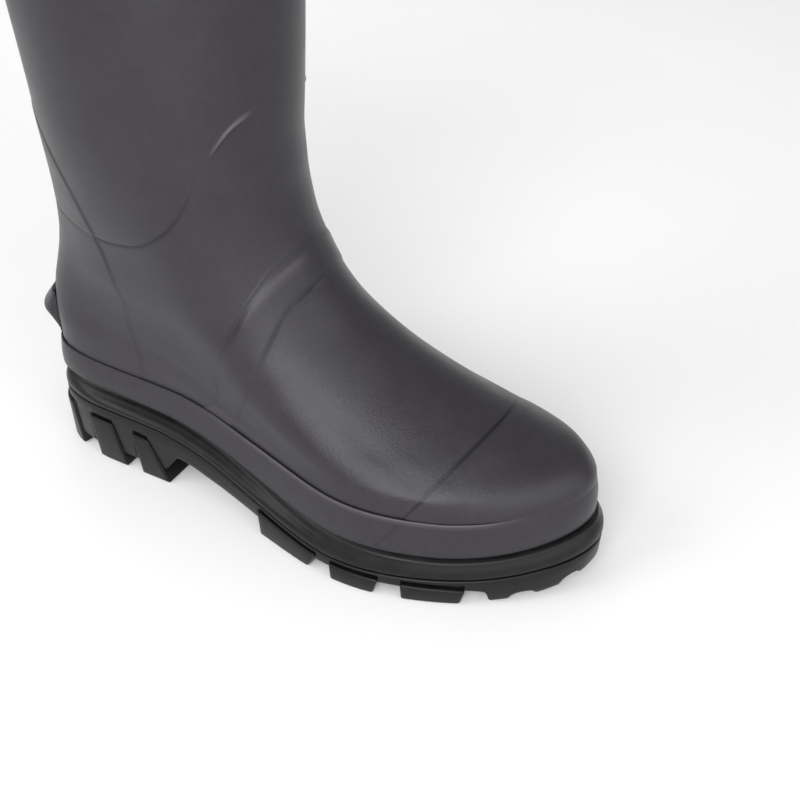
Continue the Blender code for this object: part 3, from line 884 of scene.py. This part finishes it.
def make_instep_band():
    """Band over the instep from rand to rand: a soft swelling with a fuller rear edge."""
    def path(across, along):
        knot = 1.0 - np.abs(2.0 * along - 1.0)
        steps = np.linspace(0.0, 1.0, len(BAND_REAR))
        ends = []
        for line in (BAND_FRONT, BAND_REAR):
            table = [(step, *point) for step, point in zip(steps, line)]
            turn, height = column(table, 1)(knot), column(table, 2)(knot)
            ends.append((turn if along < 0.5 else 1.0 - turn, height))
        (u0, h0), (u1, h1) = ends
        return u0 + (u1 - u0) * across, h0 + (h1 - h0) * across

    alongs = np.linspace(0.0, 1.0, BAND_COLUMNS)
    rows = [across_sheet(path, along, BAND_FRONT_SECTION, BAND_REAR_SECTION) for along in alongs]
    turn, height, lift, front_dark, rear_dark, painted_highlight = np.array(rows).transpose(1, 0, 2)
    side = folded(turn)
    over = between(side, *BAND_OVER)
    swell = BAND_FOOT_SHARE + (1.0 - BAND_FOOT_SHARE) * between(height, *BAND_SWELL)
    lift = lift * BAND_THICKNESS * swell * (1.0 - BAND_FLATTER * over)
    # painted shade along the front edge, deepest at the notch, and along the rear edge; painted highlight
    # high on the rear edge
    start, full, going, gone = BAND_NOTCH
    notch = between(side, start, full) * (1.0 - between(side, going, gone))
    dark = front_dark * (BAND_FRONT_DARK + BAND_NOTCH_DARK * notch)
    dark = dark + rear_dark * BAND_REAR_DARK * (1.0 - over)
    painted_highlight = painted_highlight * BAND_HIGHLIGHT * between(height, *BAND_HIGHLIGHT_HEIGHTS) * (1.0 - over)
    return lay_sheet("instep_band", turn, height, lift, dark, painted_highlight)


def make_rand_strip():
    """Strip of rubber round the foot, sloped to a thin rounded top edge that runs out round the toe."""
    turns = (np.arange(SOLE_COLUMNS) + 0.5) / SOLE_COLUMNS
    y = outline(turns)[:, 1]
    top = RAND_HEIGHT(y)
    inner, outer = GAP, GAP + RAND_THICKNESS
    flush = between(folded(turns), *RAND_FADE)
    crest = RAND_CREST + (RAND_CREST_TOE - RAND_CREST) * flush
    shown = 1.0 - flush
    none, full = np.zeros(turns.shape), np.ones(turns.shape)
    cap_top = toe_cap_top(turns)
    drawn = between(y, *RAND_LINE_FULL)
    line = shown * (RAND_LINE_SOFT + (1.0 - RAND_LINE_SOFT) * drawn)
    lip_highlight = RAND_HIGHLIGHT * drawn * shown
    # each row: height, distance off the upper, painted shade share, painted highlight share
    # painted shade along the rand's foot, where it meets the midsole
    rows = [
        (full * RAND_FOOT, full * inner, full, none),
        (full * RAND_FOOT, full * (outer - RAND_FOOT_ROUND), full, none),
        (full * RAND_FACE_START, full * outer, none, none),
    ]
    slope = column(RAND_SLOPE, 1)
    for share in np.linspace(RAND_SLOPE[0][0], RAND_SLOPE[-1][0], RAND_ROWS):
        # the edge of the toe cap under the rand is drawn on it as a faint line of painted shade
        across = (share * top - cap_top) * CAP_UNDER_STEP
        through = CAP_UNDER_RAND * np.exp(-(across / CAP_UNDER_WIDTH) ** 2)
        rows.append((share * top, outer + (crest - outer) * slope(share), through, none))
    # painted shade along the top edge where it tucks into the upper, painted highlight on its lip
    for drop, back, dark, painted_highlight in RAND_EDGE:
        rows.append((top - drop, crest - back * shown, dark * line, painted_highlight * lip_highlight))
    rows.append((top, np.minimum(crest - RAND_TURN, RAND_TURN_MOST), line, none))
    rows.append((top, full * -RAND_TUCK, line, none))
    rows.append((top / 2.0, full * -RAND_TUCK_LOW, none, none))
    height, offset, dark, painted_highlight = np.array(rows).transpose(1, 0, 2)
    lift = bare_upper(turns[None, :], height)[0]
    mesh = bend(upper_offset(turns[None, :], height, offset + lift), True, True, {"seam": dark, "painted_highlight": painted_highlight})
    face_outward(mesh)
    return show("rand_strip", mesh, (RUBBER,), "upper_rubber", "rand")


def make_kick_spur():
    """Kick-off lug: a blunt ridge across the back of the heel, running out at both ends."""
    turns = np.linspace(-SPUR_SPREAD, SPUR_SPREAD, SPUR_COLUMNS)
    inside = np.linspace(SPUR_FOOT, SPUR_TOP, SPUR_BACK_ROWS)
    rows = []
    for u in turns:
        share = math.sqrt(max(1.0 - (u / SPUR_SPREAD) ** 2, 0.0))
        reach = SPUR_END + (SPUR_REACH - SPUR_END) * share
        ridge = upper_offset(u, SPUR_RIDGE, 0.0)
        out = np.append(outward(np.array(u)), 0.0)
        section = [upper_offset(u, height, GAP / 2.0) for height in inside]
        section.append(upper_offset(u, SPUR_TOP, GAP + SPUR_END))
        section += [ridge + out * reach * part + np.array([0.0, 0.0, rise]) for part, rise in SPUR_FACE]
        section.append(upper_offset(u, SPUR_FOOT, GAP + SPUR_END))
        rows.append(section)
    ends = [[np.mean(row, axis=0)] * len(row) for row in (rows[0], rows[-1])]
    mesh = bend([ends[0]] + rows + [ends[1]], around=True)
    face_outward(mesh)
    return show("kick_spur", mesh, (RUBBER,), "upper_rubber", "heel_spur")


def ring(edge_of, height_at):
    """Ring round the sole from a function for its edge and one for its height at y."""
    turns = (np.arange(SOLE_COLUMNS) + 0.5) / SOLE_COLUMNS
    points = edge_of(turns)
    return np.column_stack([points, height_at(points[:, 1])])


def middle(edge_of, height_at):
    """Ring folded onto the sole's middle line, short of both ends, which closes a plate's face."""
    here = ring(edge_of, height_at)
    both = (here + here[::-1]) / 2.0
    y = CENTRE_Y + (both[:, 1] - CENTRE_Y) * MIDDLE_LINE
    return np.column_stack([both[:, 0], y, height_at(y)])


def plate(sides):
    """Plate under the foot from its edge profile, bottom to top: edge function, height function."""
    rows = [middle(*sides[0])] + [ring(*side) for side in sides] + [middle(*sides[-1])]
    mesh = bend(rows, around=True)
    face_outward(mesh)
    return mesh


def on_side(offset):
    """Edge function at one offset from the side of the sole."""
    return lambda u: sole_edge(u, offset)


def make_midsole():
    """Midsole edge: a bead below a cove at the heel, which turns into one plain band at the toe."""
    heel_share, heel_beyond, toe_share, toe_beyond = [column(MIDSOLE_EDGE, i) for i in range(1, 5)]

    def edge_of(share):
        def read(u):
            y = outline(u)[:, 1]
            heel = OVERHANG(y) * heel_share(share) + heel_beyond(share)
            toe = OVERHANG(y) * toe_share(share) + toe_beyond(share)
            return edge(u, heel + (toe - heel) * between(y, COVE_END, BAND_START))
        return read

    def height(share):
        return lambda y: GROOVE(y) + (FEATHER(y) - GAP - GROOVE(y)) * share

    shares = np.r_[MIDSOLE_FOOT_SHARES, np.linspace(MIDSOLE_SIDE_START, 1.0, MIDSOLE_ROWS)]
    sides = [(edge_of(share), height(share)) for share in shares]
    return show("midsole_edge", plate(sides), (SOLE_RUBBER,), "sole_rubber", "midsole")


def add_block(mesh, cuts, corner):
    """Drafted block with rounded edges: corner gives the place for shares along, across and up."""
    block = bmesh.new()
    bmesh.ops.create_cube(block, size=2.0)
    lengthwise = [e for e in block.edges if abs(e.verts[0].co.x - e.verts[1].co.x) > 1.0]
    bmesh.ops.subdivide_edges(block, edges=lengthwise, cuts=cuts)
    for vert in block.verts:
        vert.co = place(corner(*vert.co))
    face_outward(block)
    block.normal_update()
    sharp = [e for e in block.edges if e.calc_face_angle(0.0) > math.radians(ROUND_ANGLE)]
    bmesh.ops.bevel(
        block, geom=sharp, affect="EDGES", offset=LUG_ROUND * MM, segments=ROUND_SEGMENTS, profile=0.5,
        material=-1,
    )
    data = bpy.data.meshes.new("block")
    block.to_mesh(data)
    block.free()
    mesh.from_mesh(data)
    bpy.data.meshes.remove(data)


def add_lug(mesh, side, top_start, top_end, foot_start, foot_end, reach, proud):
    """Lug on the edge of the sole, proud of the side and leaning as its top and foot say."""
    def corner(along, across, up):
        start, end = (top_start, top_end) if up > 0 else (foot_start, foot_end)
        u = edge_at(side, start + (end - start) * (along + 1.0) / 2.0)
        if across > 0:
            x, y = sole_edge(u, proud - (LUG_FACE_DRAFT if up < 0 else 0.0))
        else:
            x, y = edge(u, (LUG_DRAFT if up < 0 else 0.0) - reach)
        return (x, y, LUG_TOP(y) if up > 0 else LUG_FOOT(y))

    add_block(mesh, LUG_CUTS, corner)


def add_bar(mesh, start, end, half):
    """Bar across the middle of the sole."""
    def corner(along, across, up):
        draft = LUG_DRAFT if up < 0 else 0.0
        y = (start + draft) + (end - start - 2.0 * draft) * (along + 1.0) / 2.0
        centre = (outline(edge_at(1, y))[0] + outline(edge_at(-1, y))[0]) / 2.0
        x = centre + across * (half - draft)
        return (x, y, PLATE_FOOT(y) + BAR_ROOT if up > 0 else LUG_FOOT(y))

    add_block(mesh, BAR_CUTS, corner)


def toe_rim(y):
    """Foot of the sole's side: the plate's, and round the toe a lower rim with shallow notches."""
    lowered = between(y, TOE_RIM_START, TOE_RIM_FULL)
    rim = LUG_FOOT(y)
    for at, half, depth in TOE_NOTCHES:
        rim = rim + depth * np.sqrt(np.clip(1.0 - ((y - at) / half) ** 2, 0.0, 1.0))
    return PLATE_FOOT(y) + (rim - PLATE_FOOT(y)) * lowered


def over_lug(u):
    """Share of the recess in the sole's side above each lug."""
    y = outline(u)[:, 1]
    share = np.zeros(y.shape)
    for lug in LUGS:
        start, end = lug[:2]
        share = np.maximum(share, ease((y - start) / LUG_RECESS_ENDS) * ease((end - y) / LUG_RECESS_ENDS))
    return share


def make_lugged_sole():
    """Outsole plate with a rim round the toe, the lugs and bars of its tread and a recess above each lug."""
    def top(y):
        return GROOVE(y) - GAP

    def from_foot(rise):
        return lambda y: toe_rim(y) + rise

    def from_top(rise):
        return lambda y: top(y) + rise

    def inside(offset):
        return lambda u: edge(u, np.full(u.shape, -offset))

    def recessed(share):
        return lambda u: sole_edge(u, -LUG_RECESS * share * over_lug(u))

    def above_lug(rise):
        def height(y):
            foot = toe_rim(y) + SOLE_CHAMFER
            start = np.clip(LUG_TOP(y) - RECESS_DROP, foot + RECESS_LEAST_FOOT, top(y) - RECESS_LEAST_TOP)
            return np.minimum(start + rise, top(y) - RECESS_TOP_GAP)
        return height

    sides = [(inside(TOE_RIM_WIDTH + TOE_RIM_SLOPE), PLATE_FOOT), (inside(TOE_RIM_WIDTH), toe_rim)]
    sides += [(on_side(offset), from_foot(rise)) for offset, rise in SOLE_FOOT_EDGE]
    sides += [(recessed(share), above_lug(rise)) for share, rise in RECESS_SECTION]
    sides += [(on_side(offset), from_top(rise)) for offset, rise in SOLE_TOP_EDGE]
    mesh = plate(sides)
    for side in (1, -1):
        for lug in LUGS:
            add_lug(mesh, side, *lug)
    for start, end, half in CENTRE_BARS:
        add_bar(mesh, start, end, half)
    piece = show("lugged_sole", mesh, (SOLE_RUBBER,), "sole_rubber", "outsole")
    piece.data.set_sharp_from_angle(angle=math.radians(SHADE_ANGLE))
    return piece


def make_footbed():
    """Felt footbed with softly rounded edges."""
    inset = RAND_THICKNESS + GAP + WALL + INSOLE_CLEARANCE

    def at(offset):
        return lambda u: edge(u, np.full(u.shape, -inset - offset))

    def level(rise):
        return lambda y: FEATHER(y) + rise

    sides = [(at(offset), level(rise)) for offset, rise in FOOTBED_EDGE]
    return show("footbed", plate(sides), (FELT,), "insole_felt", "insole")


make_upper_shell()
make_toe_cap()
make_heel_counter()
make_instep_band()
make_rand_strip()
make_kick_spur()
make_midsole()
make_lugged_sole()
make_footbed()


# Half the floor's size and how far it lies under the lugs, in metres, its own glow, and the grey of the room
FLOOR_HALF = 8.0
FLOOR_DROP = 0.0004
FLOOR_GLOW = 0.02
ROOM_GREY = 0.50

# Bright walls of the room: direction, cosine where the glow starts and is full, strength
BRIGHT_WALLS = (
    ((0.450, 0.866, 0.218), 0.60, 0.99, 1.5),
    ((0.816, 0.571, 0.087), 0.88, 0.99, 1.1),
    ((0.330, -0.680, 0.655), 0.66, 0.99, 0.15),
    ((0.530, -0.620, 0.579), 0.94, 0.99, 3.6),
)

# Soft boxes, in metres and watts: name, place, point that it is turned to, width and height, power
SOFT_BOXES = (
    ("camera_box", (0.95, 0.20, 0.71), (0.0, 0.03, 0.05), (0.6, 0.9), 9.0),
    ("heel_box", (-0.9, -0.9, 0.7), (0.0, 0.0, 0.1), (0.8, 0.8), 2.0),
)


def make_floor():
    """Plain pale floor of matt painted board."""
    mesh = bmesh.new()
    bmesh.ops.create_grid(mesh, x_segments=1, y_segments=1, size=FLOOR_HALF)
    bmesh.ops.translate(mesh, verts=mesh.verts, vec=(0.0, 0.0, -FLOOR_DROP))
    data = bpy.data.meshes.new("floor")
    mesh.to_mesh(data)
    mesh.free()
    material, tree, shader, here = new_material("painted_board")
    faint = add(tree, "TexNoise", {"Vector": here, "Scale": 3.0})
    pale = add(tree, "ValToRGB", {"Fac": faint.outputs["Fac"]})
    pale.color_ramp.elements[0].color = linear("#eeeeee")
    pale.color_ramp.elements[1].color = linear("#f4f4f4")
    tree.links.new(pale.outputs["Color"], shader.inputs["Base Color"])
    shader.inputs["Roughness"].default_value = 0.9
    shader.inputs["Emission Color"].default_value = (1.0, 1.0, 1.0, 1.0)
    shader.inputs["Emission Strength"].default_value = FLOOR_GLOW
    data.materials.append(material)
    floor = bpy.data.objects.new("floor", data)
    bpy.context.scene.collection.objects.link(floor)


def add_light(name, at, towards, size, power):
    """Large soft box at a place, turned to a point."""
    light = bpy.data.lights.new(name, "AREA")
    light.shape = "RECTANGLE"
    light.size, light.size_y = size
    light.energy = power
    item = bpy.data.objects.new(name, light)
    item.location = at
    item.rotation_euler = (Vector(towards) - Vector(at)).to_track_quat("-Z", "Y").to_euler()
    bpy.context.scene.collection.objects.link(item)


def make_light():
    """Grey room, two low bright walls beyond the toe, two high ones behind the heel and two soft boxes."""
    world = bpy.data.worlds.new("grey_room")
    bpy.context.scene.world = world
    world.use_nodes = True
    tree = world.node_tree
    here = add(tree, "TexCoord").outputs["Generated"]
    light = (ROOM_GREY, ROOM_GREY, ROOM_GREY, 1.0)
    for towards, start, full, strength in BRIGHT_WALLS:
        facing = add(tree, "VectorMath", {0: here, 1: towards}, operation="DOT_PRODUCT").outputs["Value"]
        limits = {"Value": facing, "From Min": start, "From Max": full, "To Min": 0.0, "To Max": strength}
        glow = add(tree, "MapRange", limits, interpolation_type="SMOOTHSTEP").outputs[0]
        light = add(tree, "Mix", {0: 1.0, 6: light, 7: glow}, data_type="RGBA", blend_type="ADD").outputs[2]
    tree.links.new(light, tree.nodes["Background"].inputs["Color"])
    for soft_box in SOFT_BOXES:
        add_light(*soft_box)
    bpy.context.scene.view_settings.view_transform = "Standard"


# Camera: turn from +x towards +y, rise above the floor and roll, in degrees; distance and aim in millimetres
VIEW_TURN = 23.88
VIEW_RISE = 38.41
VIEW_ROLL = 2.37
VIEW_DISTANCE = 545.0
VIEW_AIM = (-37.57, 180.71, 40.0)
FOCAL_PIXELS = 993.13
IMAGE_PIXELS = 800.0
SENSOR_MM = 36.0
NEAR_LIMIT = 10.0


def make_camera():
    """Camera at the photograph's angle, distance and framing."""
    turn, rise, roll = [math.radians(v) for v in (VIEW_TURN, VIEW_RISE, VIEW_ROLL)]
    back = Vector((math.cos(turn) * math.cos(rise), math.sin(turn) * math.cos(rise), math.sin(rise)))
    right = (-back).cross(Vector((0.0, 0.0, 1.0))).normalized()
    up = right.cross(-back)
    tilted_right = math.cos(roll) * right + math.sin(roll) * up
    tilted_up = -math.sin(roll) * right + math.cos(roll) * up
    eye = Vector(place(VIEW_AIM)) + back * VIEW_DISTANCE * MM
    lens = bpy.data.cameras.new("view")
    lens.sensor_width = SENSOR_MM
    lens.lens = FOCAL_PIXELS / IMAGE_PIXELS * SENSOR_MM
    lens.clip_start = NEAR_LIMIT * MM
    camera = bpy.data.objects.new("view", lens)
    turned = Matrix((tilted_right, tilted_up, back)).transposed().to_4x4()
    camera.matrix_world = Matrix.Translation(eye) @ turned
    bpy.context.scene.collection.objects.link(camera)
    bpy.context.scene.camera = camera


make_floor()
make_light()
make_camera()
